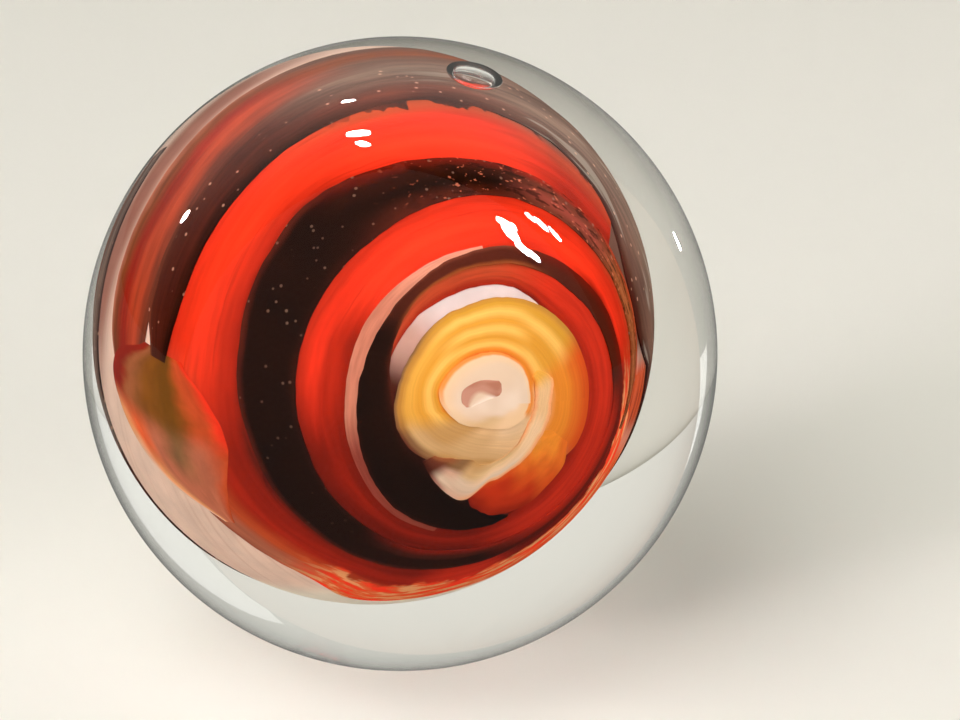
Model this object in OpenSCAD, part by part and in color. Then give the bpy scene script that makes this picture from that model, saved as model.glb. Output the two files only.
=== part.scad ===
// Glass marble: a clear ball cased round a twisted core of coloured glass.
//
// The core is a ball of rose-white glass with a low dome at one pole, the eye. Ribbons of red and
// black glass lie flush in its surface and wind out from the eye like the whorls of a snail shell.
// Every coloured piece is cut out of one common envelope, so neighbours meet face to face.
//
// Places on the core are given as on a globe: a polar angle counted from the eye, and a bearing
// counted anticlockwise round the eye as seen from outside. Lengths are millimetres, angles degrees.

/* [Marble] */
// Diameter of the clear ball
marble_d = 17; // [15:0.5:25]
// Diameter of the coloured core
core_d = 10; // [8:0.1:11]
// How far the core sits to the right of the ball's middle
core_right = -0.3; // [-0.6:0.1:0.6]
// How far the core sits behind the ball's middle
core_back = 0.5; // [-0.6:0.1:0.6]
// How far the core sits above the ball's middle
core_up = 0.5; // [-0.6:0.1:0.6]
// Turn of the whole swirl about its own axis
swirl_turn = -13; // [-180:1:180]

/* [Eye] */
// How far the dome of the eye stands up from the core
eye_rise = 0.3; // [0.1:0.05:0.5]
// Polar angle at which the dome runs out into the core
eye_rim = 38; // [34:1:44]

/* [Ribbons] */
// Depth of the red ribbon below the core's surface
red_depth = 0.6; // [0.4:0.05:0.8]
// How much deeper each other ribbon goes than the one that it cuts through
lap = 0.2; // [0.1:0.05:0.3]
// Depth of the thin streaks that lie on other ribbons
streak_depth = 0.3; // [0.15:0.05:0.35]

/* [Bubble] */
// Width of the lens-shaped air bubble
bubble_w = 1.3; // [0.8:0.1:2]
// Thickness of the air bubble
bubble_t = 0.7; // [0.3:0.1:1]
// Clear glass between the bubble and the marble's surface
bubble_cover = 1.3; // [0.8:0.1:1.5]
// Lean of the bubble away from the marble's top
bubble_lean = 15; // [0:1:30]
// Bearing of the bubble's lean, from straight ahead towards the right
bubble_side = 70; // [0:1:90]

/* [Hidden] */
$fn = 128;

marble_r = marble_d / 2;
core_r = core_d / 2;
cut_r = 1.16 * core_r; // the cutters reach out this far, past the dome
black_depth = red_depth + lap;
amber_depth = black_depth + lap;
orange_depth = amber_depth + lap;
cream_depth = orange_depth + lap;
white_depth = cream_depth + lap;
step = 9;              // largest difference in bearing between two sections of a cutter
ring = 35;             // largest difference in polar angle between two rings of a cutter

// Rows of [bearing, inner polar angle, outer polar angle] along each ribbon. The bearing goes on
// falling past zero as a ribbon winds outwards, one turn for each 360.
red_course = [[172, 33, 33.9], [135, 31.5, 36.1], [90, 27.3, 35.2], [60, 22, 34], [25, 21.5, 35.2],
              [0, 22.5, 38.6], [-30, 25, 44.5], [-50, 28, 46], [-62, 30.8, 46.5], [-72, 33.2, 47],
              [-90, 35.8, 48], [-135, 36.7, 52], [-180, 36.9, 56], [-210, 37, 56], [-245, 36.7, 54.4],
              [-270, 35.7, 53], [-300, 35, 50], [-330, 36, 47.8], [-345, 37.5, 47.6], [-360, 40, 49],
              [-390, 45.5, 57.5], [-420, 49, 64.5], [-435, 51, 71.5], [-450, 53, 78.5],
              [-465, 55.7, 76], [-480, 58.5, 82], [-495, 61.5, 92], [-510, 65, 99], [-525, 68, 98],
              [-540, 70.2, 96], [-570, 72.5, 95.5], [-585, 72.3, 94.6], [-600, 68.8, 93],
              [-630, 61.3, 89], [-650, 57, 84], [-660, 55.2, 80], [-680, 52.8, 71]];
red_tail_course = [[210, 108.5, 114.5], [195, 105, 124.5], [180, 105, 129], [150, 106, 131],
                   [120, 106.5, 131], [90, 102.8, 127], [60, 96.8, 122], [30, 93.5, 119], [0, 94, 119],
                   [-45, 102.5, 125], [-75, 114.8, 136], [-105, 130.7, 147], [-135, 141.7, 154],
                   [-180, 150.3, 160], [-225, 153.8, 161]];
black_course = [[291, 33.6, 34.6], [285, 31.2, 36.2], [270, 27.5, 38], [250, 24.5, 38.7],
                [228, 23.5, 38.7], [210, 26, 38.7], [180, 30.6, 38.7], [160, 33.6, 38.6],
                [135, 35, 38.5], [90, 33.3, 37.6], [50, 32, 37.8], [15, 34.8, 40], [-15, 40.3, 45.3],
                [-45, 43.6, 49], [-90, 46, 54.3], [-135, 50, 63], [-180, 54.5, 71.5], [-210, 54.9, 74],
                [-225, 54, 73.5], [-250, 52.8, 67.5], [-270, 51.6, 62.5], [-300, 48.8, 57],
                [-330, 46.6, 52], [-360, 47.1, 50], [-375, 48, 49.3]];
black_tail_course = [[191, 94.8, 101], [180, 93.5, 106], [150, 93, 107.3], [120, 90.5, 108],
                     [90, 85.5, 104], [60, 74.5, 98], [45, 66, 96], [30, 54, 95], [12, 52.2, 94.6],
                     [0, 60, 95.6], [-45, 82, 104], [-75, 97, 116.2], [-105, 115, 132.2],
                     [-135, 132, 143.2], [-180, 142.5, 151.7], [-225, 149, 155]];
thread_course = [[262, 37.7, 39.6], [240, 37.9, 40.6], [210, 37.9, 41.1], [180, 37.8, 41.8],
                 [160, 37.8, 42.3], [145, 37.8, 41.8], [130, 37.7, 40.6], [112, 37.2, 39.2],
                 [100, 36.9, 38.7]];
olive_course = [[232, 81.5, 84.5], [222, 78.5, 104.5], [210, 74.5, 118], [202, 75.5, 121.5],
                [195, 81, 117], [189, 89, 105]];
orange_course = [[332, 14, 22], [322, 11.3, 27.3], [312, 11.5, 29.5], [300, 13, 32], [285, 15, 32],
                 [275, 17.3, 30], [267, 19.5, 28.3], [260, 23, 25.4]];
cream_course = [[55, 7.4, 9.4], [30, 6.2, 11.5], [0, 5.8, 11], [-25, 6.2, 12], [-45, 7.2, 13.3],
                [-60, 8.8, 15.3], [-75, 11.5, 17.3], [-85, 13.3, 19.5], [-92, 14.5, 21],
                [-98, 15.8, 26.6], [-106, 16.6, 27.3], [-116, 16.8, 26.8], [-128, 19.3, 25.9],
                [-137, 22.5, 25.4]];
mauve_course = [[188, 10.8, 12.2], [183, 9, 13.4], [172, 6.5, 13.8], [160, 5, 12.2], [150, 4.8, 10.3],
                [142, 5.2, 8.4], [134, 6.2, 7.2]];

// Rows of [bearing, polar angle] once round each rim.
amber_rim = [[0, 24.5], [30, 23], [60, 23.3], [90, 24.8], [120, 26.5], [150, 28.3], [180, 29.2],
             [200, 28.7], [214, 27], [226, 23.3], [242, 21], [262, 18.5], [285, 21], [303, 24],
             [322, 25], [335, 26.8]];
white_rim = [[0, 4.6], [30, 4.8], [60, 6.2], [90, 9.6], [120, 13.6], [150, 17.4], [175, 19.3],
             [188, 17.8], [198, 15.5], [207, 13.3], [218, 10], [240, 7.5], [270, 6], [305, 5]];

// ---- Curves ------------------------------------------------------------------------------------

// The point at a distance from the core's middle, at a polar angle and bearing.
function on_globe(r, polar, bearing) =
    [r * sin(polar) * cos(bearing), r * sin(polar) * sin(bearing), r * cos(polar)];

// A smooth curve through four rows a, b, c and d, at the share t of the way from b to c.
function smooth(a, b, c, d, t) =
    b + t / 2 * (c - a + t * (2 * a - 5 * b + 4 * c - d + t * (3 * (b - c) + d - a)));

// A table's rows with smooth ones put in between, no further apart in bearing than the step.
function smooth_rows(rows) =
    let (last = len(rows) - 1)
    [for (i = [0:last - 1])
        let (count = ceil(abs(rows[i + 1][0] - rows[i][0]) / step))
        for (k = [0:count - 1])
            let (t = k / count,
                 row = smooth(rows[max(i - 1, 0)], rows[i], rows[i + 1], rows[min(i + 2, last)], t),
                 bearing = rows[i][0] + t * (rows[i + 1][0] - rows[i][0]))
            [bearing, for (j = [1:len(row) - 1]) row[j]],
     rows[last]];

// A rim's rows smoothed the same way, as a closed ring.
function smooth_rim(rim) =
    let (n = len(rim),
         before = [rim[n - 1][0] - 360, rim[n - 1][1]],
         after = [for (row = [rim[0], rim[1]]) [row[0] + 360, row[1]]],
         rows = smooth_rows([before, each rim, each after]))
    [for (row = rows) if (abs(row[0] - rim[0][0] - 180 + step / 100) < 180) row];

// ---- Cutters, with the eye at +Z and the core's middle at the origin ----------------------------

// A wedge of glass along a course, from a floor at a depth out past the dome.
module ribbon_cutter(course, depth) {
    rows = smooth_rows(course);
    floor_r = core_r - depth;
    tip = 4 * len(rows) - 4;
    points = [for (row = rows) each [on_globe(floor_r, row[1], row[0]), on_globe(floor_r, row[2], row[0]),
                                     on_globe(cut_r, row[2], row[0]), on_globe(cut_r, row[1], row[0])]];
    sides = [for (i = [0:4:tip - 4], k = [0:3])
        let (a = i + k, b = i + (k + 1) % 4)
        each [[a, b + 4, b], [a, a + 4, b + 4]]];
    ends = [[0, 1, 2], [0, 2, 3], [tip, tip + 2, tip + 1], [tip, tip + 3, tip + 2]];
    polyhedron(points, [each sides, each ends]);
}

// A plug of glass round the eye, out to a rim, from a floor at a depth out past the dome.
module plug_cutter(rim, depth) {
    rows = smooth_rim(rim);
    n = len(rows);
    rings = ceil(max([for (row = rows) row[1]]) / ring);
    skin = 1 + rings * n;
    function at(layer, k, i) = layer * skin + 1 + (k - 1) * n + i % n;
    points = [for (r = [cut_r, core_r - depth]) each
        [on_globe(r, 0, 0),
         for (k = [1:rings], row = rows) on_globe(r, row[1] * k / rings, row[0])]];
    top = [for (i = [0:n - 1]) each
        [[0, at(0, 1, i + 1), at(0, 1, i)],
         for (k = [1:1:rings - 1]) each
             [[at(0, k, i), at(0, k, i + 1), at(0, k + 1, i + 1)],
              [at(0, k, i), at(0, k + 1, i + 1), at(0, k + 1, i)]]]];
    bottom = [for (face = top) [face[0] + skin, face[2] + skin, face[1] + skin]];
    wall = [for (i = [0:n - 1]) each
        [[at(0, rings, i), at(0, rings, i + 1), at(1, rings, i + 1)],
         [at(0, rings, i), at(1, rings, i + 1), at(1, rings, i)]]];
    polyhedron(points, [each top, each bottom, each wall]);
}

module red_cut() { ribbon_cutter(red_course, red_depth); }
module red_tail_cut() { ribbon_cutter(red_tail_course, red_depth); }
module black_cut() { ribbon_cutter(black_course, black_depth); }
module black_tail_cut() { ribbon_cutter(black_tail_course, black_depth); }
module thread_cut() { ribbon_cutter(thread_course, streak_depth); }
module olive_cut() { ribbon_cutter(olive_course, streak_depth); }
module amber_cut() { plug_cutter(amber_rim, amber_depth); }
module orange_cut() { ribbon_cutter(orange_course, orange_depth); }
module cream_cut() { ribbon_cutter(cream_course, cream_depth); }
module white_cut() { plug_cutter(white_rim, white_depth); }
module mauve_cut() { ribbon_cutter(mauve_course, streak_depth); }

// ---- The core's envelope --------------------------------------------------------------------------

// Puts what is drawn with the eye at +Z where the core lies in the marble, with the eye at -Y.
module in_marble() {
    translate([core_right, core_back, core_up]) rotate([90, 0, 0]) rotate([0, 0, swirl_turn]) children();
}

// The outside of the whole core: a ball with the low dome of the eye. It is turned so that the
// seams of its surfaces lie between two sections of the cutters.
module envelope() {
    rim_r = core_r * sin(eye_rim);
    rise = core_r + eye_rise - core_r * cos(eye_rim);
    dome_r = (rim_r * rim_r + rise * rise) / (2 * rise);
    rotate([0, 0, step / 2]) {
        sphere(r = core_r);
        translate([0, 0, core_r + eye_rise - dome_r]) sphere(r = dome_r);
    }
}

// ---- The pieces of glass --------------------------------------------------------------------------

module clear_glass() {
    color("azure", 0.3) difference() {
        sphere(r = marble_r);
        in_marble() envelope();
        bubble();
    }
}

// The space of the air bubble, a lens that lies under the marble's surface.
module bubble() {
    lens_r = (bubble_w * bubble_w + bubble_t * bubble_t) / (4 * bubble_t);
    rotate([bubble_lean, 0, bubble_side]) translate([0, 0, marble_r - bubble_cover - bubble_t / 2])
        intersection_for (side = [-1, 1])
            translate([0, 0, side * (lens_r - bubble_t / 2)]) sphere(r = lens_r);
}

module rose_core() {
    color("mistyrose") in_marble() difference() {
        envelope();
        red_cut();
        red_tail_cut();
        black_cut();
        black_tail_cut();
        thread_cut();
        olive_cut();
        amber_cut();
        orange_cut();
        cream_cut();
        white_cut();
    }
}

module red_ribbon() {
    color("red") in_marble() difference() {
        intersection() {
            envelope();
            red_cut();
        }
        black_cut();
        black_tail_cut();
        thread_cut();
        olive_cut();
        amber_cut();
        orange_cut();
        cream_cut();
    }
}

module red_tail() {
    color("firebrick") in_marble() difference() {
        intersection() {
            envelope();
            red_tail_cut();
        }
        black_tail_cut();
        olive_cut();
    }
}

module black_ribbon() {
    color("black") in_marble() difference() {
        intersection() {
            envelope();
            black_cut();
        }
        amber_cut();
        orange_cut();
        cream_cut();
    }
}

module black_tail() {
    color("black") in_marble() intersection() {
        envelope();
        black_tail_cut();
    }
}

module rose_thread() {
    color("rosybrown") in_marble() difference() {
        intersection() {
            envelope();
            thread_cut();
        }
        black_cut();
    }
}

module olive_streak() {
    color("olive") in_marble() difference() {
        intersection() {
            envelope();
            olive_cut();
        }
        black_tail_cut();
    }
}

module amber_coil() {
    color("orange") in_marble() difference() {
        intersection() {
            envelope();
            amber_cut();
        }
        orange_cut();
        cream_cut();
        white_cut();
    }
}

module orange_tip() {
    color("orangered") in_marble() difference() {
        intersection() {
            envelope();
            orange_cut();
        }
        cream_cut();
    }
}

module cream_arm() {
    color("blanchedalmond") in_marble() difference() {
        intersection() {
            envelope();
            cream_cut();
        }
        white_cut();
    }
}

module white_heart() {
    color("seashell") in_marble() difference() {
        intersection() {
            envelope();
            white_cut();
        }
        mauve_cut();
    }
}

module mauve_curl() {
    color("rosybrown") in_marble() intersection() {
        envelope();
        mauve_cut();
    }
}

clear_glass();
rose_core();
red_ribbon();
red_tail();
black_ribbon();
black_tail();
rose_thread();
olive_streak();
amber_coil();
orange_tip();
cream_arm();
white_heart();
mauve_curl();
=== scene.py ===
import math

import bmesh
import bpy
from mathutils import Matrix, Vector, noise


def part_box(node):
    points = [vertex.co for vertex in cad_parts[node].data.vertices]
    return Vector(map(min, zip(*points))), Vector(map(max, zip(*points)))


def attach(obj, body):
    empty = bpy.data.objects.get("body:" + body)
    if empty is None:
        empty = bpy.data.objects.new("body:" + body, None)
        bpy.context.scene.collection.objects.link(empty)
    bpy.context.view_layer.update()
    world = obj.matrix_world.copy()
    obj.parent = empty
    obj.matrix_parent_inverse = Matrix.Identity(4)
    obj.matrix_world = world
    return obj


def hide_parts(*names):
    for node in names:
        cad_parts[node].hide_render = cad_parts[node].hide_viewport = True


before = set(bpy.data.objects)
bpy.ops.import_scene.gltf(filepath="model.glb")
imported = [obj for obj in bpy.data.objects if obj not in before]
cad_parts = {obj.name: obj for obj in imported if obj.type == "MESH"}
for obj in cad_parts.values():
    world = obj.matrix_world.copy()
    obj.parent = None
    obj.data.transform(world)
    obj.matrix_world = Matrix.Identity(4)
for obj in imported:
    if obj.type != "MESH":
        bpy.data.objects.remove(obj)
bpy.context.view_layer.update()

MM = 0.001

# ---- Palette: sRGB values of the coloured glasses --------------------------------------------------------
PALETTE = {
    "soot": (18, 5, 2), "tar": (34, 10, 4), "umber": (60, 20, 10), "cocoa": (94, 42, 28),
    "smoke": (96, 66, 54), "haze": (120, 94, 80), "wine": (84, 15, 5), "maroon": (112, 20, 6),
    "garnet": (136, 26, 9), "crimson": (164, 33, 13), "red": (194, 42, 20), "scarlet": (226, 48, 24),
    "flame": (248, 56, 28), "brick": (168, 60, 32), "rust": (190, 72, 34), "clay": (184, 102, 74),
    "toffee": (120, 56, 24), "bronze": (118, 66, 16), "olive": (106, 62, 10), "copper": (146, 82, 46),
    "apricot": (236, 158, 104), "thread": (180, 108, 86), "blush": (206, 134, 110), "plum": (126, 54, 42),
    "lilac": (216, 192, 188), "rose": (244, 208, 188), "flesh": (218, 168, 142), "pearl": (246, 222, 206),
    "tangerine": (222, 128, 40), "orange": (212, 102, 32), "ember": (198, 72, 22), "coral": (232, 96, 48),
    "straw": (240, 180, 90), "gold": (216, 146, 48), "honey": (224, 160, 66), "mustard": (204, 144, 46),
    "caramel": (180, 122, 50), "bark": (128, 88, 54), "tan": (190, 140, 84), "buff": (208, 162, 112),
    "cream": (226, 178, 130), "ivory": (234, 192, 150), "milk": (222, 190, 163), "curl": (182, 126, 106),
    "dusk": (166, 106, 84), "mauve": (160, 104, 88), "orchid": (182, 136, 122), "snow": (246, 234, 216),
    "cherry": (176, 44, 14), "blood": (140, 32, 10), "ash": (148, 136, 124),
}


def linear(c):
    """An sRGB triple from 0 to 255 as the linear colour that a shader takes."""
    out = [(v / 255 / 12.92 if v <= 10 else ((v / 255 + 0.055) / 1.055) ** 2.4) for v in c]
    return (*out, 1.0)


def paint(name):
    """A colour of the palette, as a shader takes it."""
    return linear(PALETTE[name])


# ---- The core's frame: the eye at +Z, the core's middle at the origin, in millimetres --------------------
CORE_R = 5.0
CORE_AT = (-0.3, 0.5, 0.5)        # the core's middle from the marble's
SWIRL_TURN = math.radians(-13)
EYE_RIM = math.radians(38)        # the polar angle at which the eye's low dome ends
EYE_TOP = CORE_R + 0.3
RIM_R = CORE_R * math.sin(EYE_RIM)
RISE = EYE_TOP - CORE_R * math.cos(EYE_RIM)
DOME_R = (RIM_R ** 2 + RISE ** 2) / (2 * RISE)
DOME_Z = EYE_TOP - DOME_R
EYE_FORWARD = Matrix.Rotation(math.radians(90), 4, "X")
IN_MARBLE = (Matrix.Scale(MM, 4) @ Matrix.Translation(CORE_AT) @ EYE_FORWARD
             @ Matrix.Rotation(SWIRL_TURN, 4, "Z"))


def skin_r(polar):
    """The radius of the core's outside at a polar angle in degrees."""
    a = math.radians(polar)
    s = DOME_R ** 2 - (DOME_Z * math.sin(a)) ** 2
    return max(CORE_R, DOME_Z * math.cos(a) + math.sqrt(max(s, 0)))


def on_core(polar, bearing, lift=0.0):
    """The point over the core's skin by lift millimetres, in the marble's frame in metres."""
    r = skin_r(polar) + lift
    p, b = math.radians(polar), math.radians(bearing)
    out = r * math.sin(p)
    return IN_MARBLE @ Vector((out * math.cos(b), out * math.sin(b), r * math.cos(p)))


def smooth(a, b, c, d, t):
    """The value at t between b and c, on a smooth curve through a, b, c and d."""
    return b + t / 2 * (c - a + t * (2 * a - 5 * b + 4 * c - d + t * (3 * (b - c) + d - a)))


def smooth_rows(rows, step):
    """The rows with smooth ones put in between, no further apart in bearing than step degrees."""
    out, last = [], len(rows) - 1
    for i in range(last):
        four = [rows[max(i - 1, 0)], rows[i], rows[i + 1], rows[min(i + 2, last)]]
        count = max(1, math.ceil(abs(rows[i + 1][0] - rows[i][0]) / step))
        for k in range(count):
            t = k / count
            row = [smooth(*[r[j] for r in four], t) for j in range(1, len(rows[0]))]
            out.append([rows[i][0] + t * (rows[i + 1][0] - rows[i][0])] + row)
    return out + [list(rows[last])]


# ---- Meshes ----------------------------------------------------------------------------------------------
def place(name, mesh, node):
    """An object of the marble, made of the mesh, that takes the place of a node of the CAD."""
    ob = bpy.data.objects.new(name, mesh)
    bpy.context.scene.collection.objects.link(ob)
    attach(ob, "root")
    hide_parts(node)


def mesh_object(name, points, faces, attributes, material, node):
    """A closed piece of coloured glass. The attributes are values for its material at each point."""
    me = bpy.data.meshes.new(name)
    me.from_pydata([tuple(p) for p in points], [], faces)
    for key, values in attributes.items():
        me.attributes.new(key, "FLOAT", "POINT").data.foreach_set("value", values)
    bm = bmesh.new()
    bm.from_mesh(me)
    bmesh.ops.recalc_face_normals(bm, faces=bm.faces)
    bm.to_mesh(me)
    bm.free()
    me.shade_smooth()
    me.set_sharp_from_angle(angle=math.radians(40))
    me.materials.append(material)
    place(name, me, node)


RIBBON_STEP = 1.5   # degrees of bearing between a ribbon's rows
PLUG_STEP = 3       # and a plug's
LAYER = 0.012       # how much higher each layer of glass lies than the one under it, in millimetres
DEPTH = 0.25        # how far each glass goes down into the core, in millimetres


def wobble(bearing, seed, size):
    """A small uneven shift of an edge, in degrees."""
    p = Vector((bearing * 0.06, seed * 7.3, 0.5))
    q = Vector((bearing * 0.25, seed * 3.1, 4.5))
    return size * (noise.noise(p) + 0.45 * noise.noise(q))


def ribbon(name, course, material, node, layer, across=16, edge=0.5, seed=1):
    """A ribbon of glass laid along a course of [bearing, inner polar, outer polar] rows."""
    rows = smooth_rows(course, RIBBON_STEP)
    start = rows[0][0]
    points, ac, al, faces = [], [], [], []
    n = across + 1
    for bearing, inner, outer in rows:
        width = outer - inner
        size = min(edge, 0.12 * width)
        inner += wobble(bearing, seed, size)
        outer += wobble(bearing, seed + 0.5, size)
        for height in (layer * LAYER, -DEPTH):
            for j in range(n):
                u = j / across
                points.append(on_core(inner + (outer - inner) * u, bearing, height))
                ac.append(u)
                al.append(abs(bearing - start))
    for i in range(len(rows) - 1):
        a, b = i * 2 * n, (i + 1) * 2 * n
        for j in range(across):
            faces.append((a + j, a + j + 1, b + j + 1, b + j))
            faces.append((a + n + j + 1, a + n + j, b + n + j, b + n + j + 1))
        faces.append((a, b, b + n, a + n))
        faces.append((a + across, a + n + across, b + n + across, b + across))
    for a in (0, (len(rows) - 1) * 2 * n):
        for j in range(across):
            faces.append((a + j, a + n + j, a + n + j + 1, a + j + 1))
    mesh_object(name, points, faces, {"across": ac, "along": al}, material, node)


def ring_rows(rim, step):
    """The smoothed rows of a closed rim of [bearing, polar] rows."""
    closed = [[rim[-1][0] - 360, rim[-1][1]]] + rim + [[r[0] + 360, r[1]] for r in rim[:2]]
    return [r for r in smooth_rows(closed, step) if rim[0][0] - 0.01 <= r[0] < rim[0][0] + 359.9]


def polar_at(rows, bearing):
    """The polar angle of a closed rim's smoothed rows at a bearing."""
    k = min(range(len(rows)), key=lambda i: abs((rows[i][0] - bearing + 180) % 360 - 180))
    return rows[k][1]


def plug(name, rim, material, node, layer, rings=20, edge=0.5, seed=1, inner=None):
    """A plug of glass round the eye, out to a rim. Its across runs from an inner rim where there is one."""
    rows = ring_rows(rim, PLUG_STEP)
    inside = ring_rows(inner, PLUG_STEP) if inner else [[0, 0.0]]
    rows.append([rows[0][0] + 360, rows[0][1]])
    m = len(rows)
    points, ac, al, faces = [], [], [], []
    for height in (layer * LAYER, -DEPTH):
        points.append(on_core(0, 0, height))
        ac.append(0.0)
        al.append(0.0)
        for k in range(1, rings + 1):
            for bearing, polar in rows:
                loop = math.sin(math.radians(bearing - rows[0][0]) / 2)
                out = polar + wobble(bearing, seed, edge) * abs(loop)
                at, low = out * k / rings, polar_at(inside, bearing)
                points.append(on_core(at, bearing, height))
                ac.append(max(0.0, (at - low) / (out - low)))
                al.append(bearing)
    half = 1 + rings * m
    for base in (0, half):
        for i in range(m - 1):
            faces.append((base, base + 1 + i, base + 2 + i))
            for k in range(rings - 1):
                a, b = base + 1 + k * m + i, base + 1 + (k + 1) * m + i
                faces.append((a, b, b + 1, a + 1))
    first = 1 + (rings - 1) * m
    for a in range(first, first + m - 1):
        faces.append((a, half + a, half + a + 1, a + 1))
    mesh_object(name, points, faces, {"across": ac, "along": al}, material, node)


# ---- Materials -------------------------------------------------------------------------------------------
def new_material(name, **values):
    """A material with these values on its Principled shader, and that shader."""
    mat = bpy.data.materials.new(name)
    mat.use_nodes = True
    shader = next(n for n in mat.node_tree.nodes if n.type == "BSDF_PRINCIPLED")
    for key, value in values.items():
        shader.inputs[key.replace("_", " ")].default_value = value
    return mat, shader


class Glass:
    """The node tree of one coloured glass. Its colour is built from fields across and along the piece."""

    def __init__(self, name):
        # no shine of its own, since it is fused in glass of the same kind
        self.mat, self.shader = new_material(name, Roughness=0.5, Specular_IOR_Level=0.0)
        self.nt = self.mat.node_tree
        self.across, self.along = self.attribute("across"), self.attribute("along")

    def node(self, kind, **inputs):
        """A new node with its inputs set to values or linked to sockets."""
        n = self.nt.nodes.new(kind)
        for key, value in inputs.items():
            self.plug(n, key.replace("_", " "), value)
        return n

    def plug(self, n, key, value):
        socket = n.inputs[int(key)] if key.isdigit() else n.inputs[key]
        if isinstance(value, bpy.types.NodeSocket):
            self.nt.links.new(value, socket)
        else:
            socket.default_value = value

    def attribute(self, name):
        n = self.nt.nodes.new("ShaderNodeAttribute")
        n.attribute_name = name
        return n.outputs["Fac"]

    def math(self, op, a, b=0.0):
        n = self.nt.nodes.new("ShaderNodeMath")
        n.operation = op
        self.plug(n, "0", a)
        self.plug(n, "1", b)
        return n.outputs[0]

    def times(self, a, b):
        return self.math("MULTIPLY", a, b)

    def between(self, value, low, high, out_low=0.0, out_high=1.0):
        """A smooth step from one level at low to another at high."""
        n = self.nt.nodes.new("ShaderNodeMapRange")
        n.interpolation_type = "SMOOTHSTEP"
        for i, v in enumerate((value, low, high, out_low, out_high)):
            self.plug(n, str(i), v)
        return n.outputs[0]

    def band(self, value, middle, half, soft):
        """1 within half of the middle, falling to 0 over soft."""
        gap = self.math("ABSOLUTE", self.math("SUBTRACT", value, middle))
        return self.between(gap, half, half + soft, 1.0, 0.0)

    def ramp(self, value, stops):
        """The colours of the palette that the stops name, by value."""
        n = self.nt.nodes.new("ShaderNodeValToRGB")
        n.color_ramp.interpolation = "EASE"
        while len(n.color_ramp.elements) < len(stops):
            n.color_ramp.elements.new(0.5)
        for e, (pos, name) in zip(n.color_ramp.elements, stops):
            e.position = pos
            e.color = paint(name)
        self.nt.links.new(value, n.inputs[0])
        return n.outputs[0]

    def mix(self, share, a, b, blend="MIX"):
        n = self.nt.nodes.new("ShaderNodeMix")
        n.data_type = "RGBA"
        n.blend_type = blend
        self.plug(n, "0", share)
        self.plug(n, "6", a)
        self.plug(n, "7", b)
        return n.outputs[2]

    def grain(self, across_size, along_size, detail=3.0, seed=0.0):
        """Noise drawn out along the piece. The sizes are the waves across it and per degree along it."""
        at = self.node("ShaderNodeCombineXYZ", X=self.times(self.across, across_size),
                       Y=self.times(self.along, along_size), Z=seed)
        n = self.node("ShaderNodeTexNoise", Vector=at.outputs[0], Scale=1.0, Detail=detail, Roughness=0.55)
        return n.outputs[0]

    def where(self, *shift):
        """The place in the marble in metres, moved by a shift so that no two noises are alike."""
        moved = self.node("ShaderNodeVectorMath")
        self.plug(moved, "0", self.nt.nodes.new("ShaderNodeTexCoord").outputs["Object"])
        moved.inputs[1].default_value = shift
        return moved.outputs[0]

    def speckle(self, scale, size, seed=0.0):
        """1 in small round spots scattered through the glass, 0 elsewhere. The scale is per metre."""
        at = self.where(seed, seed * 0.7, -seed)
        n = self.node("ShaderNodeTexVoronoi", Vector=at, Scale=scale)
        return self.between(n.outputs["Distance"], size * 0.5, size, 1.0, 0.0)

    def cloud(self, scale, detail=3.0, seed=0.0):
        """Even noise through the glass. The scale is per metre."""
        at = self.where(seed, -seed, seed * 0.5)
        n = self.node("ShaderNodeTexNoise", Vector=at, Scale=scale, Detail=detail)
        return n.outputs[0]

    def shifted(self, amount, across_size=3.0, along_size=0.05, seed=0.0):
        """The place across the piece, pushed about by grain so that bands run unevenly."""
        g = self.grain(across_size, along_size, seed=seed)
        return self.math("ADD", self.across, self.times(self.math("SUBTRACT", g, 0.5), amount))

    def fields(self, value, parts):
        """Colour ramps over value, one after another along the piece.

        Each part is its stops after (where it starts, how softly), which is None for the first one.
        """
        colour = self.ramp(value, parts[0][1])
        for (start, soft), stops in parts[1:]:
            here = self.between(self.along, start - soft, start + soft)
            colour = self.mix(here, colour, self.ramp(value, stops))
        return colour

    def tone(self, colour, grain, low, high):
        """The colour made darker and lighter by a noise."""
        level = self.between(grain, 0.28, 0.72, low, high)
        grey = self.node("ShaderNodeCombineColor", Red=level, Green=level, Blue=level)
        return self.mix(1.0, colour, grey.outputs[0], "MULTIPLY")

    def done(self, colour):
        """The finished material, in this colour."""
        self.plug(self.shader, "Base Color", colour)
        return self.mat


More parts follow.
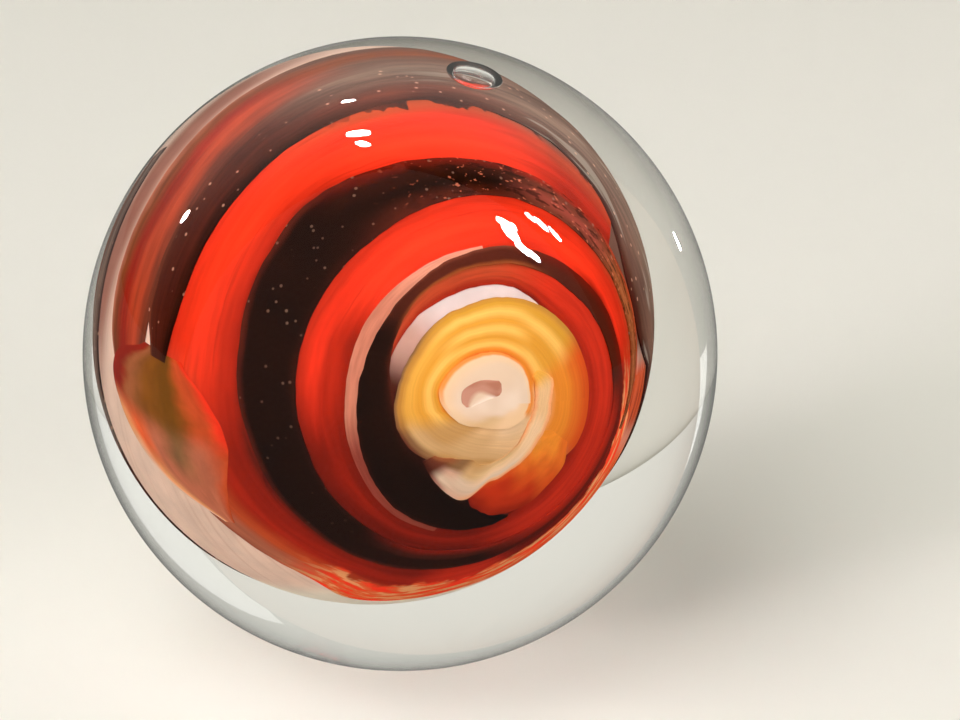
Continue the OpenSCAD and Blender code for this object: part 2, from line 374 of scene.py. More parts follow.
def red_glass():
    g = Glass("red_glass")
    u = g.shifted(0.14, 2.0, 0.04)
    # Two fields hold painted light: the wine and maroon field from along 242 is painted shade where the
    # band's first turn lies low and faces away from the light, and the coral near the outer edge of the
    # field from along 596 is a painted highlight.
    colour = g.fields(u, [
        (None, [(0.0, "garnet"), (0.5, "brick"), (1.0, "toffee")]),
        ((88, 18), [(0.0, "maroon"), (0.22, "crimson"), (0.5, "red"), (0.75, "red"), (1.0, "crimson")]),
        ((242, 14), [(0.0, "wine"), (0.25, "maroon"), (0.5, "garnet"), (0.7, "maroon"), (1.0, "wine")]),
        ((338, 18), [(0.0, "maroon"), (0.3, "garnet"), (0.48, "crimson"), (0.7, "scarlet"), (0.85, "red"),
                     (1.0, "garnet")]),
        ((378, 14), [(0.0, "crimson"), (0.24, "scarlet"), (0.45, "flame"), (0.68, "scarlet"), (0.86, "red"),
                     (1.0, "crimson")]),
        ((486, 12), [(0.0, "wine"), (0.24, "maroon"), (0.42, "scarlet"), (0.7, "red"), (1.0, "brick")]),
        ((522, 14), [(0.0, "wine"), (0.3, "maroon"), (0.6, "garnet"), (1.0, "garnet")]),
        ((596, 6), [(0.0, "wine"), (0.2, "red"), (0.5, "scarlet"), (0.75, "coral"), (1.0, "rust")]),
        ((616, 6), [(0.0, "umber"), (0.15, "garnet"), (0.4, "crimson"), (0.62, "rust"), (0.8, "clay"),
                    (1.0, "clay")]),
        ((696, 14), [(0.0, "garnet"), (0.2, "red"), (0.42, "flame"), (0.68, "flame"), (0.85, "scarlet"),
                     (1.0, "crimson")]),
        ((768, 18), [(0.0, "scarlet"), (0.25, "flame"), (0.6, "scarlet"), (0.82, "rust"), (1.0, "toffee")]),
        ((822, 14), [(0.0, "garnet"), (0.3, "crimson"), (0.6, "brick"), (0.8, "smoke"), (1.0, "cocoa")]),
    ])
    colour = g.tone(colour, g.grain(9.0, 0.03, 4.0, 2.0), 0.68, 0.93)
    streak = g.between(g.grain(14.0, 0.02, 2.0, 6.0), 0.62, 0.7)
    colour = g.mix(g.times(streak, 0.35), colour, paint("garnet"))
    # Painted glints: flecks of flame, coral and apricot along the band's outer edge from along 515 to 650.
    painted_glint = g.math("ADD", g.across, g.times(g.grain(3.0, 0.1, 3.0, 17.0), 0.8))
    here = g.times(g.between(g.along, 515, 545), g.between(g.along, 632, 650, 1.0, 0.0))
    painted_glint_colours = g.ramp(g.grain(9.0, 0.1, 3.0, 19.0), [(0.4, "flame"), (0.5, "coral"), (0.6, "apricot")])
    colour = g.mix(g.times(g.between(painted_glint, 0.84, 0.94), here), colour, painted_glint_colours)
    tongue = g.math("ADD", g.across, g.times(g.grain(2.0, 0.13, 3.0, 31.0), 0.9))
    tongue = g.times(g.between(tongue, 1.26, 1.3), g.between(g.along, 765, 795))
    colour = g.mix(tongue, colour, paint("umber"))
    line = g.times(g.band(g.across, 0.985, 0.015, 0.03), g.between(g.along, 640, 700, 0.0, 0.6))
    return g.done(g.mix(line, colour, paint("toffee")))


def dark_red_glass():
    g = Glass("dark_red_glass")
    u = g.shifted(0.3, 2.0, 0.04, 3.0)
    colour = g.fields(u, [
        (None, [(0.0, "cocoa"), (0.35, "brick"), (0.6, "garnet"), (0.85, "toffee"), (1.0, "clay")]),
        ((102, 18), [(0.0, "haze"), (0.35, "smoke"), (0.6, "toffee"), (1.0, "smoke")]),
    ])
    return g.done(g.tone(colour, g.grain(10.0, 0.03, 4.0, 8.0), 0.72, 1.18))


def black_glass():
    g = Glass("black_glass")
    u = g.shifted(0.14, 2.0, 0.05)
    colour = g.fields(u, [
        (None, [(0.0, "umber"), (0.12, "tar"), (0.3, "soot"), (0.9, "soot"), (1.0, "tar")]),
        ((145, 14), [(0.0, "toffee"), (0.3, "umber"), (0.7, "umber"), (1.0, "cocoa")]),
        ((215, 14), [(0.0, "umber"), (0.4, "umber"), (1.0, "wine")]),
        ((296, 12), [(0.0, "crimson"), (0.45, "garnet"), (0.8, "wine"), (1.0, "wine")]),
        ((352, 14), [(0.0, "maroon"), (0.3, "umber"), (0.5, "tar"), (0.85, "tar"), (1.0, "umber")]),
        ((398, 14), [(0.0, "tar"), (0.15, "soot"), (0.85, "soot"), (1.0, "umber")]),
        ((522, 14), [(0.0, "umber"), (0.4, "soot"), (0.7, "tar"), (1.0, "wine")]),
        ((576, 12), [(0.0, "cocoa"), (0.4, "plum"), (0.7, "cocoa"), (1.0, "garnet")]),
        ((612, 10), [(0.0, "toffee"), (0.4, "copper"), (0.7, "toffee"), (1.0, "brick")]),
    ])
    ragged = g.between(g.grain(7.0, 0.16, 4.0, 11.0), 0.52, 0.6)
    colour = g.mix(g.times(ragged, g.between(g.along, 505, 570, 0.0, 0.7)), colour, paint("soot"))
    glint = g.between(g.grain(9.0, 0.4, 3.0, 21.0), 0.62, 0.68)
    colour = g.mix(g.times(glint, g.between(g.along, 520, 575)), colour, paint("clay"))
    specks = g.times(g.speckle(3600, 0.17, 0.3), g.between(g.along, 390, 500))
    return g.done(g.mix(g.times(specks, 0.55), colour, paint("haze")))


def black_tail_glass():
    g = Glass("black_tail_glass")
    u = g.shifted(0.2, 2.0, 0.05, 5.0)
    colour = g.fields(u, [
        (None, [(0.0, "tar"), (0.4, "umber"), (0.75, "umber"), (1.0, "cocoa")]),
        ((78, 18), [(0.0, "umber"), (0.3, "cocoa"), (0.6, "smoke"), (1.0, "haze")]),
        ((118, 18), [(0.0, "umber"), (0.15, "smoke"), (0.5, "haze"), (1.0, "smoke")]),
    ])
    colour = g.tone(colour, g.grain(12.0, 0.04, 4.0, 4.0), 0.62, 1.2)
    veil = g.between(g.grain(7.0, 0.03, 2.0, 14.0), 0.55, 0.64)
    colour = g.mix(g.times(veil, g.between(g.along, 95, 125, 0.0, 0.7)), colour, paint("ash"))
    return g.done(g.mix(g.times(g.speckle(3400, 0.17, 1.1), 0.5), colour, paint("flesh")))


def rose_glass():
    """Rose-white glass. Here along is the bearing, and across is the polar angle's share of 180 degrees."""
    g = Glass("rose_glass")
    base = g.ramp(g.cloud(340, 3.0, 0.4), [(0.2, "flesh"), (0.38, "rose"), (0.65, "rose"), (0.85, "pearl")])
    vein = g.between(g.grain(90.0, 0.01, 3.0, 7.0), 0.5, 0.7, 0.0, 0.4)
    base = g.mix(vein, base, paint("flesh"))

    def inside(value, low, high, soft):
        over = g.between(value, low - soft, low + soft)
        return g.times(over, g.between(value, high - soft, high + soft, 1.0, 0.0))

    def zone(bearing_low, bearing_high, polar_low, polar_high, soft=0.012, turn=6):
        """1 between two bearings and two polar angles. Turn and soft are how far its edges fade."""
        a = inside(g.along, bearing_low, bearing_high, turn)
        return g.times(a, inside(g.across, polar_low / 180, polar_high / 180, soft))

    # The crescent of rose glass round the eye darkens from lilac through orchid to umber between bearings
    # 108 and 180: painted shade.
    shades = [(0.3, "lilac"), (0.36, "lilac"), (0.43, "orchid"), (0.5, "umber")]
    lilac_painted_shade = g.ramp(g.math("DIVIDE", g.along, 360.0), shades)
    base = g.mix(zone(-20, 380, -10, 41), base, lilac_painted_shade)
    # Painted shade: the rose glass at the back of the core on its left, bearings 85 to 215, polar 130 to
    # 148, darkened to mauve.
    base = g.mix(zone(85, 215, 130, 148, 0.035, 25), base, paint("mauve"))
    # Painted light: a snow-white patch on the core's underside, bearings 262 to 330, polar 71 to 100, for
    # light focused there through the clear glass.
    base = g.mix(zone(262, 330, 71, 100), base, paint("snow"))
    # Painted glints: red, coral and apricot fibres at bearings 282 to 342, polar 46 to 70, on the core's
    # lower edge.
    fibres = g.grain(160.0, 0.05, 4.0, 3.0)
    painted_glint = g.ramp(fibres, [(0.3, "red"), (0.45, "coral"), (0.58, "coral"), (0.7, "apricot")])
    base = g.mix(zone(282, 342, 46, 70), base, painted_glint)
    dim = g.ramp(fibres, [(0.3, "cocoa"), (0.5, "rust"), (0.65, "clay")])
    base = g.mix(zone(342, 380, 46, 70), base, dim)
    base = g.mix(zone(-20, 5, 46, 70), base, dim)
    base = g.mix(zone(5, 60, 46, 70), base, paint("smoke"))
    return g.done(g.tone(base, g.cloud(1400, 3.0, 0.9), 0.92, 1.05))


def thread_glass():
    g = Glass("thread_glass")
    shades = [(0.0, "plum"), (0.3, "plum"), (0.45, "thread"), (0.7, "thread"), (0.85, "blush"),
              (1.0, "blush")]
    colour = g.ramp(g.math("DIVIDE", g.along, 162.0), shades)
    return g.done(g.tone(colour, g.grain(5.0, 0.06), 0.85, 1.12))


def olive_glass():
    g = Glass("olive_glass")
    colour = g.fields(g.shifted(0.25, 2.0, 0.1), [
        (None, [(0.0, "rust"), (0.2, "clay"), (0.6, "clay"), (0.82, "apricot"), (1.0, "rose")]),
        ((13, 5), [(0.0, "rust"), (0.2, "clay"), (0.4, "bark"), (0.6, "clay"), (0.8, "coral"),
                   (1.0, "apricot")]),
        ((23, 4), [(0.0, "scarlet"), (0.15, "rust"), (0.35, "olive"), (0.6, "bronze"), (0.8, "copper"),
                   (0.92, "garnet"), (1.0, "garnet")]),
    ])
    return g.done(g.tone(colour, g.grain(6.0, 0.1, 4.0), 0.8, 1.12))


def amber_glass():
    g = Glass("amber_glass")
    u = g.shifted(0.05, 1.5, 0.02)
    dawn = [(0.0, "tangerine"), (0.1, "cream"), (0.26, "apricot"), (0.42, "tangerine"), (0.58, "tangerine"),
            (0.76, "orange"), (0.95, "ember")]
    colour = g.fields(u, [
        (None, dawn),
        ((38, 12), [(0.0, "tangerine"), (0.08, "tangerine"), (0.2, "straw"), (0.36, "gold"), (0.52, "gold"),
                    (0.68, "straw"), (0.84, "mustard"), (1.0, "caramel")]),
        ((84, 12), [(0.0, "orange"), (0.07, "tangerine"), (0.16, "straw"), (0.3, "gold"), (0.46, "straw"),
                    (0.6, "gold"), (0.76, "straw"), (0.9, "mustard"), (1.0, "caramel")]),
        ((145, 14), [(0.0, "tangerine"), (0.1, "gold"), (0.25, "straw"), (0.45, "gold"), (0.7, "honey"),
                     (0.9, "caramel"), (1.0, "bark")]),
        ((200, 8), [(0.0, "tan"), (0.3, "tan"), (0.5, "tan"), (0.75, "buff"), (0.9, "bark"),
                    (1.0, "cocoa")]),
        ((222, 8), [(0.0, "cream"), (0.3, "buff"), (0.6, "buff"), (0.8, "tan"), (1.0, "bark")]),
        ((252, 12), [(0.0, "ivory"), (0.35, "cream"), (0.6, "buff"), (0.72, "tan"), (0.85, "buff"),
                     (1.0, "tan")]),
        ((322, 12), dawn),
    ])
    return g.done(g.tone(colour, g.grain(26.0, 0.012, 3.0, 3.0), 0.84, 0.96))


def orange_glass():
    g = Glass("orange_glass")
    colour = g.fields(g.shifted(0.12), [
        (None, [(0.0, "tangerine"), (0.5, "tangerine"), (0.75, "orange"), (1.0, "orange")]),
        ((14, 6), [(0.0, "apricot"), (0.2, "tangerine"), (0.5, "orange"), (1.0, "ember")]),
        ((27, 6), [(0.0, "apricot"), (0.2, "orange"), (0.5, "ember"), (0.75, "cherry"), (1.0, "blood")]),
        ((42, 8), [(0.0, "apricot"), (0.18, "ember"), (0.35, "cherry"), (0.65, "cherry"), (1.0, "blood")]),
        ((58, 6), [(0.0, "flesh"), (0.18, "ember"), (0.5, "cherry"), (0.8, "blood"), (1.0, "maroon")]),
    ])
    return g.done(g.tone(colour, g.grain(6.0, 0.08, 4.0), 0.9, 1.08))


def cream_glass():
    g = Glass("cream_glass")
    u = g.shifted(0.2, 2.0, 0.03)
    colour = g.fields(u, [
        (None, [(0.0, "tangerine"), (0.3, "honey"), (1.0, "honey")]),
        ((22, 14), [(0.0, "apricot"), (0.3, "cream"), (0.7, "cream"), (1.0, "apricot")]),
        ((80, 15), [(0.0, "apricot"), (0.3, "ivory"), (0.7, "ivory"), (1.0, "apricot")]),
        ((124, 12), [(0.0, "buff"), (0.4, "ivory"), (0.75, "milk"), (1.0, "apricot")]),
        ((155, 7), [(0.0, "tan"), (0.3, "buff"), (0.6, "milk"), (1.0, "flesh")]),
        # From along 169 the arm's tip darkens to bark, then copper, cocoa and umber: painted shade on its
        # end.
        ((169, 5), [(0.0, "bark"), (0.3, "bark"), (0.55, "flesh"), (0.8, "milk"), (1.0, "mauve")]),
        ((180, 5), [(0.0, "copper"), (0.5, "cocoa"), (1.0, "umber")]),
    ])
    return g.done(g.tone(colour, g.grain(10.0, 0.03, 4.0, 5.0), 0.92, 1.05))


def white_glass():
    g = Glass("white_glass")
    base = g.ramp(g.cloud(420, 3.0, 1.4), [(0.25, "milk"), (0.5, "milk"), (0.75, "pearl")])
    base = g.mix(g.between(g.across, 0.72, 0.92, 0.0, 0.7), base, paint("ivory"))
    u = g.math("ADD", g.across, g.times(g.cloud(500, 2.0, 0.6), 0.3))
    under = g.times(g.between(g.along, 185, 222), g.between(u, 0.5, 0.8))
    base = g.mix(g.times(under, 0.85), base, paint("buff"))
    low = g.times(g.between(g.along, 215, 255), g.between(u, 0.25, 0.6))
    base = g.mix(g.times(low, 0.85), base, paint("ivory"))
    line = g.times(g.band(g.across, 1.0, 0.03, 0.05), g.between(g.along, 168, 200, 0.9, 0.0))
    wide = g.times(g.band(g.across, 1.0, 0.1, 0.1), g.between(g.along, 315, 335, 0.0, 0.9))
    return g.done(g.mix(g.math("MAXIMUM", line, wide), base, paint("tangerine")))


def mauve_glass():
    g = Glass("mauve_glass")
    # The pearl and milk at the inner edge where the curl begins are a painted highlight.
    return g.done(g.fields(g.shifted(0.15), [
        (None, [(0.0, "pearl"), (0.4, "milk"), (0.7, "curl"), (1.0, "curl")]),
        ((22, 5), [(0.0, "dusk"), (0.4, "curl"), (0.7, "curl"), (1.0, "dusk")]),
        ((34, 5), [(0.0, "curl"), (0.3, "dusk"), (0.7, "dusk"), (1.0, "curl")]),
    ]))


# ---- The ribbons and plugs, as the CAD has them ----------------------------------------------------------
# A ribbon's rows are the bearing round the eye and the polar angles of its two edges, and a rim's rows are
# the bearing and one polar angle. All are in degrees.
RED = [[172, 33, 33.9], [135, 31.5, 36.1], [90, 27.3, 35.2], [60, 22, 34], [25, 21.5, 35.2],
       [0, 22.5, 38.6], [-30, 25, 44.5], [-50, 28, 46], [-62, 30.8, 46.5], [-72, 33.2, 47],
       [-90, 35.8, 48], [-135, 36.7, 52], [-180, 36.9, 56], [-210, 37, 56], [-245, 36.7, 54.4],
       [-270, 35.7, 53], [-300, 35, 50], [-330, 36, 47.8], [-345, 37.5, 47.6], [-360, 40, 49],
       [-390, 45.5, 57.5], [-420, 49, 64.5], [-435, 51, 71.5], [-450, 53, 78.5], [-465, 55.7, 76],
       [-480, 58.5, 82], [-495, 61.5, 92], [-510, 65, 99], [-525, 68, 98], [-540, 70.2, 96],
       [-570, 72.5, 95.5], [-585, 72.3, 94.6], [-600, 68.8, 93], [-630, 61.3, 89], [-650, 57, 84],
       [-660, 55.2, 80], [-680, 52.8, 71]]
RED_TAIL = [[210, 108.5, 114.5], [195, 105, 124.5], [180, 105, 129], [150, 106, 131],
            [120, 106.5, 131], [90, 102.8, 127], [60, 96.8, 122], [30, 93.5, 119], [0, 94, 119],
            [-45, 102.5, 125], [-75, 114.8, 136], [-105, 130.7, 147], [-135, 141.7, 154],
            [-180, 150.3, 160], [-225, 153.8, 161]]
BLACK = [[291, 33.6, 34.6], [285, 31.2, 36.2], [270, 27.5, 38], [250, 24.5, 38.7], [228, 23.5, 38.7],
         [210, 26, 38.7], [180, 30.6, 38.7], [160, 33.6, 38.6], [135, 35, 38.5], [90, 33.3, 37.6],
         [50, 32, 37.8], [15, 34.8, 40], [-15, 40.3, 45.3], [-45, 43.6, 49], [-90, 46, 54.3],
         [-135, 50, 63], [-180, 54.5, 71.5], [-210, 54.9, 74], [-225, 54, 73.5], [-250, 52.8, 67.5],
         [-270, 51.6, 62.5], [-300, 48.8, 57], [-330, 46.6, 52], [-360, 47.1, 50], [-375, 48, 49.3]]
BLACK_TAIL = [[191, 94.8, 101], [180, 93.5, 106], [150, 93, 107.3], [120, 90.5, 108], [90, 85.5, 104],
              [60, 74.5, 98], [45, 66, 96], [30, 54, 95], [12, 52.2, 94.6], [0, 60, 95.6],
              [-45, 82, 104], [-75, 97, 116.2], [-105, 115, 132.2], [-135, 132, 143.2],
              [-180, 142.5, 151.7], [-225, 149, 155]]
THREAD = [[262, 37.7, 39.6], [240, 37.9, 40.6], [210, 37.9, 41.1], [180, 37.8, 41.8],
          [160, 37.8, 42.3], [145, 37.8, 41.8], [130, 37.7, 40.6], [112, 37.2, 39.2],
          [100, 36.9, 38.7]]
OLIVE = [[232, 81.5, 84.5], [222, 78.5, 104.5], [210, 74.5, 118], [202, 75.5, 121.5], [195, 81, 117],
         [189, 89, 105]]
ORANGE = [[332, 14, 22], [322, 11.3, 27.3], [312, 11.5, 29.5], [300, 13, 32], [285, 15, 32],
          [275, 17.3, 30], [267, 19.5, 28.3], [260, 23, 25.4]]
CREAM = [[55, 7.4, 9.4], [30, 6.2, 11.5], [0, 5.8, 11], [-25, 6.2, 12], [-45, 7.2, 13.3],
         [-60, 8.8, 15.3], [-75, 11.5, 17.3], [-85, 13.3, 19.5], [-92, 14.5, 21], [-98, 15.8, 26.6],
         [-106, 16.6, 27.3], [-116, 16.8, 26.8], [-128, 19.3, 25.9], [-137, 22.5, 25.4]]
MAUVE = [[188, 10.8, 12.2], [183, 9, 13.4], [172, 6.5, 13.8], [160, 5, 12.2], [150, 4.8, 10.3],
         [142, 5.2, 8.4], [134, 6.2, 7.2]]
AMBER_RIM = [[0, 24.5], [30, 23], [60, 23.3], [90, 24.8], [120, 26.5], [150, 28.3], [180, 29.2],
             [200, 28.7], [214, 27], [226, 23.3], [242, 21], [262, 18.5], [285, 21], [303, 24],
             [322, 25], [335, 26.8]]
WHITE_RIM = [[0, 4.6], [30, 4.8], [60, 6.2], [90, 9.6], [120, 13.6], [150, 17.4], [175, 19.3],
             [188, 17.8], [198, 15.5], [207, 13.3], [218, 10], [240, 7.5], [270, 6], [305, 5]]

ribbon("red_band", RED, red_glass(), "red_ribbon", 1, across=20, seed=1)
ribbon("red_band_tail", RED_TAIL, dark_red_glass(), "red_tail", 1, seed=2)
ribbon("olive_band", OLIVE, olive_glass(), "olive_streak", 2, seed=3)
ribbon("thread_band", THREAD, thread_glass(), "rose_thread", 2, across=6, edge=0.25, seed=4)
ribbon("black_band", BLACK, black_glass(), "black_ribbon", 3, seed=5)
ribbon("black_band_tail", BLACK_TAIL, black_tail_glass(), "black_tail", 3, seed=6)
plug("amber_plug", AMBER_RIM, amber_glass(), "amber_coil", 4, rings=30, seed=7,
     inner=WHITE_RIM)
ribbon("orange_band", ORANGE, orange_glass(), "orange_tip", 5, edge=1.0, seed=8)
ribbon("cream_band", CREAM, cream_glass(), "cream_arm", 6, edge=0.4, seed=9)
plug("white_plug", WHITE_RIM, white_glass(), "white_heart", 7, edge=0.3, seed=10)
ribbon("mauve_band", MAUVE, mauve_glass(), "mauve_curl", 8, across=6, edge=0.2, seed=11)


# ---- The rose core: a whole ball with the low dome of the eye --------------------------------------------
def rose_body():
    """The ball in rings round the eye, each closed by a second column at the first one's bearing."""
    points, faces, ac, al = [on_core(0, 0)], [], [0.0], [0.0]
    rings, m = 90, 121
    for k in range(1, rings):
        for i in range(m):
            bearing = 360 * i / (m - 1)
            points.append(on_core(180 * k / rings, bearing))
            ac.append(k / rings)
            al.append(bearing)
    points.append(on_core(180, 0))
    ac.append(1.0)
    al.append(0.0)
    last = len(points) - 1
    for i in range(m - 1):
        low = 1 + (rings - 2) * m + i
        faces.append((0, 1 + i, 2 + i))
        faces.append((last, low + 1, low))
        for k in range(rings - 2):
            a, b = 1 + k * m + i, 1 + (k + 1) * m + i
            faces.append((a, b, b + 1, a + 1))
    values = {"across": ac, "along": al}
    mesh_object("rose_ball", points, faces, values, rose_glass(), "rose_core")


rose_body()


# ---- The clear glass and its air bubble ------------------------------------------------------------------
lo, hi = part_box("clear_glass")
MARBLE_R = (hi.x - lo.x) / 2
BUBBLE_AT = Vector((1.67, -0.61, 6.62)) * MM
BUBBLE_R = 0.66   # its radius across, in millimetres
BUBBLE_H = 0.34   # and its radius along the line out from the marble's middle


def clear_body():
    bm = bmesh.new()
    bmesh.ops.create_icosphere(bm, subdivisions=7, radius=MARBLE_R * 0.9998)
    void = bmesh.new()
    bmesh.ops.create_icosphere(void, subdivisions=4, radius=1.0)
    turn = BUBBLE_AT.normalized().to_track_quat("Z", "Y").to_matrix()
    for v in void.verts:
        flat = Vector((v.co.x * BUBBLE_R * MM, v.co.y * BUBBLE_R * MM, v.co.z * BUBBLE_H * MM))
        v.co = BUBBLE_AT + turn @ flat
    bmesh.ops.reverse_faces(void, faces=void.faces)
    tmp = bpy.data.meshes.new("void")
    void.to_mesh(tmp)
    bm.from_mesh(tmp)
    me = bpy.data.meshes.new("clear_ball")
    bm.to_mesh(me)
    bm.free()
    void.free()
    bpy.data.meshes.remove(tmp)
    me.shade_smooth()
    material, _ = new_material("clear_glass", Base_Color=(0.985, 0.99, 0.975, 1), Roughness=0.0, IOR=1.5,
                               Transmission_Weight=1.0)
    me.materials.append(material)
    place("clear_ball", me, "clear_glass")


clear_body()

# ---- The front of the marble, as it lies -----------------------------------------------------------------
TO_CAMERA = Vector((-0.531, -0.763, 0.368)).normalized()
RIGHT = Vector((0.821, -0.571, 0.0)).normalized()
UP = TO_CAMERA.cross(RIGHT).normalized()


def seen(x, y, z):
    """A direction given right, up and towards the camera."""
    return RIGHT * x + UP * y + TO_CAMERA * z


# ---- The stage, the lamps and the camera -----------------------------------------------------------------
CAMERA_AWAY = 102 * MM    # from the marble's middle
FLOOR_Z = lo.z
FLOOR_HALF = 0.7          # half the floor's side, in metres
BACKDROP_R = 0.66         # in metres
BACKDROP_TOP = 88         # how high the dome goes up, in degrees
BACKDROP_TURN = 100       # how far it comes round on each side of the marble, in degrees


def stage_piece(name, points, faces, colour):
    """A plain piece of the studio, which isn't part of the marble, and the shader of its material."""
    me = bpy.data.meshes.new(name)
    me.from_pydata([tuple(p) for p in points], [], faces)
    me.shade_smooth()
    material, shader = new_material(name, Base_Color=(*colour, 1), Roughness=0.9, Specular_IOR_Level=0.1)
    me.materials.append(material)
    ob = bpy.data.objects.new(name, me)
    bpy.context.scene.collection.objects.link(ob)
    return ob, shader


def math_node(nt, op, a, b):
    """An operation on two sockets, held between 0 and 1."""
    n = nt.nodes.new("ShaderNodeMath")
    n.operation = op
    n.use_clamp = True
    nt.links.new(a, n.inputs[0])
    nt.links.new(b, n.inputs[1])
    return n.outputs[0]


def show(shader, colour):
    """Makes a piece glow in this colour where it's seen straight on, through glass or in the glass's shine.

    It glows as its strength attribute says, and in the shine as its reflected attribute says.
    """
    nt = shader.id_data
    path = nt.nodes.new("ShaderNodeLightPath").outputs
    glow = nt.nodes.new("ShaderNodeEmission")
    glow.inputs["Color"].default_value = (*colour, 1)
    level = nt.nodes.new("ShaderNodeMix")
    shine = math_node(nt, "SUBTRACT", path["Is Glossy Ray"], path["Is Transmission Ray"])
    nt.links.new(shine, level.inputs[0])
    for number, name in ((2, "strength"), (3, "reflected")):
        value = nt.nodes.new("ShaderNodeAttribute")
        value.attribute_name = name
        nt.links.new(value.outputs["Fac"], level.inputs[number])
    nt.links.new(level.outputs[0], glow.inputs["Strength"])
    share = math_node(nt, "MAXIMUM", path["Is Camera Ray"], path["Is Glossy Ray"])
    share = math_node(nt, "MAXIMUM", share, path["Is Transmission Ray"])
    mix = nt.nodes.new("ShaderNodeMixShader")
    out = next(n for n in nt.nodes if n.type == "OUTPUT_MATERIAL")
    for number, socket in enumerate((share, shader.outputs[0], glow.outputs[0])):
        nt.links.new(socket, mix.inputs[number])
    nt.links.new(mix.outputs[0], out.inputs["Surface"])


def floor():
    corners = [(-1, -1), (1, -1), (1, 1), (-1, 1)]
    points = [(x * FLOOR_HALF, y * FLOOR_HALF, FLOOR_Z) for x, y in corners]
    ob, _ = stage_piece("floor", points, [(0, 1, 2, 3)], (0.76, 0.75, 0.70))
    ob.visible_glossy = False


floor()


def backdrop():
    """Half a pale dome that stands behind the marble and fades out towards its sides and top."""
    away = Vector((-TO_CAMERA.x, -TO_CAMERA.y, 0)).normalized()
    points, faces, strength, reflected = [], [], [], []
    n, m = 24, 12
    for j in range(m + 1):
        up = math.radians(BACKDROP_TOP * j / m)
        for i in range(n + 1):
            turn = math.radians(-BACKDROP_TURN + 2 * BACKDROP_TURN * i / n)
            side = away * math.cos(turn) + RIGHT * math.sin(turn)
            at = side * (BACKDROP_R * math.cos(up)) + Vector((0, 0, FLOOR_Z + BACKDROP_R * math.sin(up)))
            points.append(at)
            t = min(1.0, max(0.0, (math.cos(turn) * math.cos(up) + 0.05) / 0.7))
            strength.append(t * t * (3 - 2 * t))
            reflected.append(strength[-1] * min(1.0, 0.05 + j / m * 1.6))  # weak near the floor
    for j in range(m):
        for i in range(n):
            a = j * (n + 1) + i
            faces.append((a, a + 1, a + n + 2, a + n + 1))
    ob, shader = stage_piece("backdrop", points, faces, (0.72, 0.71, 0.65))
    for name, values in (("strength", strength), ("reflected", reflected)):
        ob.data.attributes.new(name, "FLOAT", "POINT").data.foreach_set("value", values)
    show(shader, (0.80, 0.79, 0.72))


backdrop()

world = bpy.data.worlds.new("studio")
bpy.context.scene.world = world
world.use_nodes = True
back = next(n for n in world.node_tree.nodes if n.type == "BACKGROUND")
back.inputs["Color"].default_value = (1.0, 0.99, 0.95, 1)
back.inputs["Strength"].default_value = 0.12


def lamp(name, direction, distance, size, watts, colour=(1, 1, 1)):
    """A square lamp that faces the marble and doesn't show in the glass's shine."""
    data = bpy.data.lights.new(name, "AREA")
    data.size = size
    data.energy = watts
    data.color = colour
    ob = bpy.data.objects.new(name, data)
    d = Vector(direction).normalized()
    ob.location = d * distance
    ob.rotation_euler = d.to_track_quat("Z", "Y").to_euler()
    ob.visible_glossy = False
    bpy.context.scene.collection.objects.link(ob)
    return ob


lamp("key", seen(-0.33, 0.6, 0.73), 0.5, 0.4, 1.6, (1, 0.985, 0.95))
lamp("fill", seen(0.6, 0.1, 0.8), 0.5, 0.4, 0.9, (1, 0.99, 0.97))
lamp("front", seen(-0.42, 0.3, 0.85), 0.45, 0.25, 0.55, (1, 0.99, 0.97))
lamp("low", seen(-0.75, -0.2, 0.6), 0.4, 0.1, 0.16, (1, 0.98, 0.95)).data.spread = math.radians(30)


SPARK_AWAY = 0.3        # how far a spark's lamp is from the ball, in metres
SPARK_STRETCH = 0.6     # the lamp's length for each radius of the stroke's, in metres
SPARK_POWER = 1100      # in watts for each square metre of lamp


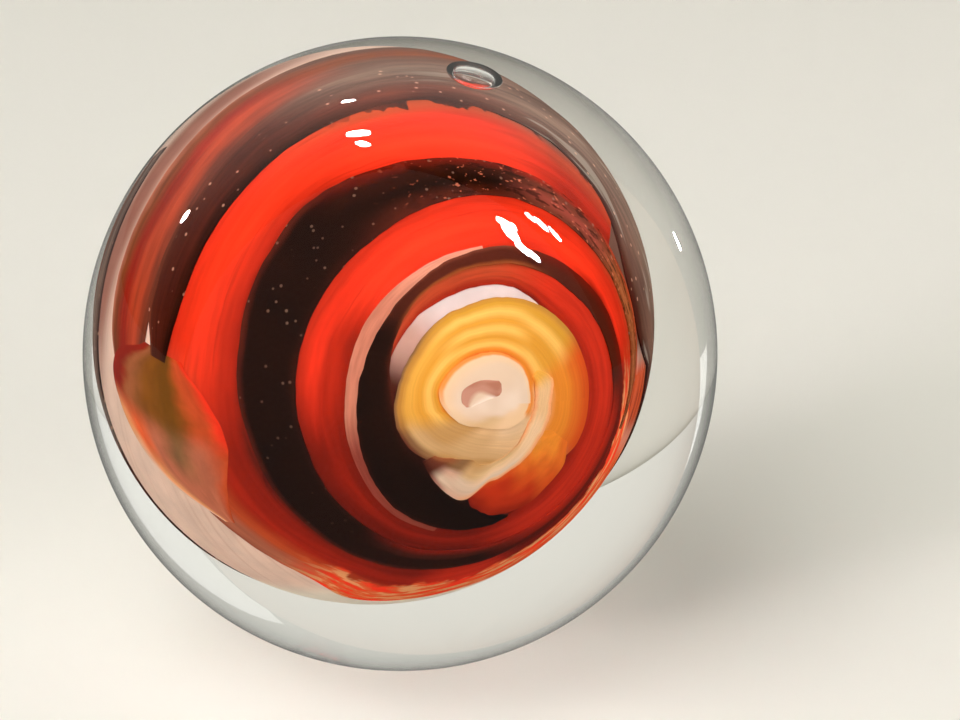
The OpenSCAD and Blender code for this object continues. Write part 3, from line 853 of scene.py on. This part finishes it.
def spark(name, x0, y0, x1, y1, width):
    """A lamp that shows only as a stroke of light on the ball. The width is the lamp's, in metres.

    The stroke runs from x0, y0 to x1, y1, which are right and up of the ball's middle in radii.
    """
    x, y = (x0 + x1) / 2, (y0 + y1) / 2
    at = seen(x, y, math.sqrt(1 - x * x - y * y))
    view = (TO_CAMERA * CAMERA_AWAY - at * MARBLE_R).normalized()
    way = (at * (2 * at.dot(view)) - view).normalized()
    length = width + SPARK_STRETCH * math.hypot(x1 - x0, y1 - y0)
    ob = lamp(name, way, SPARK_AWAY, length, SPARK_POWER * length * width)
    ob.data.shape = "ELLIPSE"
    ob.data.size_y = width
    ob.location += at * MARBLE_R
    course = seen(x1 - x0 + 1e-4, y1 - y0, 0)  # never zero
    course = (course - way * course.dot(way)).normalized()
    ob.rotation_euler = Matrix((course, way.cross(course), way)).transposed().to_euler()
    ob.visible_glossy = True
    ob.visible_diffuse = False
    ob.visible_transmission = False


SPARKS = [(-0.131, 0.665, -0.116, 0.638, 0.016), (-0.112, 0.628, -0.105, 0.610, 0.012),
          (-0.168, 0.752, -0.152, 0.757, 0.006), (-0.640, 0.415, -0.638, 0.398, 0.009),
          (0.298, 0.393, 0.330, 0.372, 0.013), (0.318, 0.366, 0.345, 0.340, 0.017),
          (0.335, 0.384, 0.342, 0.366, 0.006), (0.376, 0.410, 0.400, 0.397, 0.006),
          (0.405, 0.393, 0.436, 0.374, 0.009), (0.445, 0.367, 0.478, 0.345, 0.006),
          (0.348, 0.318, 0.385, 0.300, 0.012), (0.380, 0.297, 0.415, 0.281, 0.009),
          (0.845, 0.360, 0.848, 0.346, 0.006)]
for number, stroke in enumerate(SPARKS):
    spark("spark_%d" % number, *stroke)

cam = bpy.data.cameras.new("camera")
cam.lens = 142.4
cam.sensor_width = 36
cam.clip_start = 0.005
cam.clip_end = 10
camera = bpy.data.objects.new("camera", cam)
bpy.context.scene.collection.objects.link(camera)
aim = RIGHT * (2.14907 * MM) - UP * (0.16118 * MM)
facing = Matrix((RIGHT, UP, TO_CAMERA)).transposed().to_4x4()
camera.matrix_world = Matrix.Translation(aim + TO_CAMERA * CAMERA_AWAY) @ facing
bpy.context.scene.camera = camera

scene = bpy.context.scene
scene.view_settings.view_transform = "Standard"
scene.cycles.max_bounces = 16
scene.cycles.transmission_bounces = 14
scene.cycles.glossy_bounces = 6
scene.cycles.diffuse_bounces = 4
scene.cycles.sample_clamp_indirect = 6
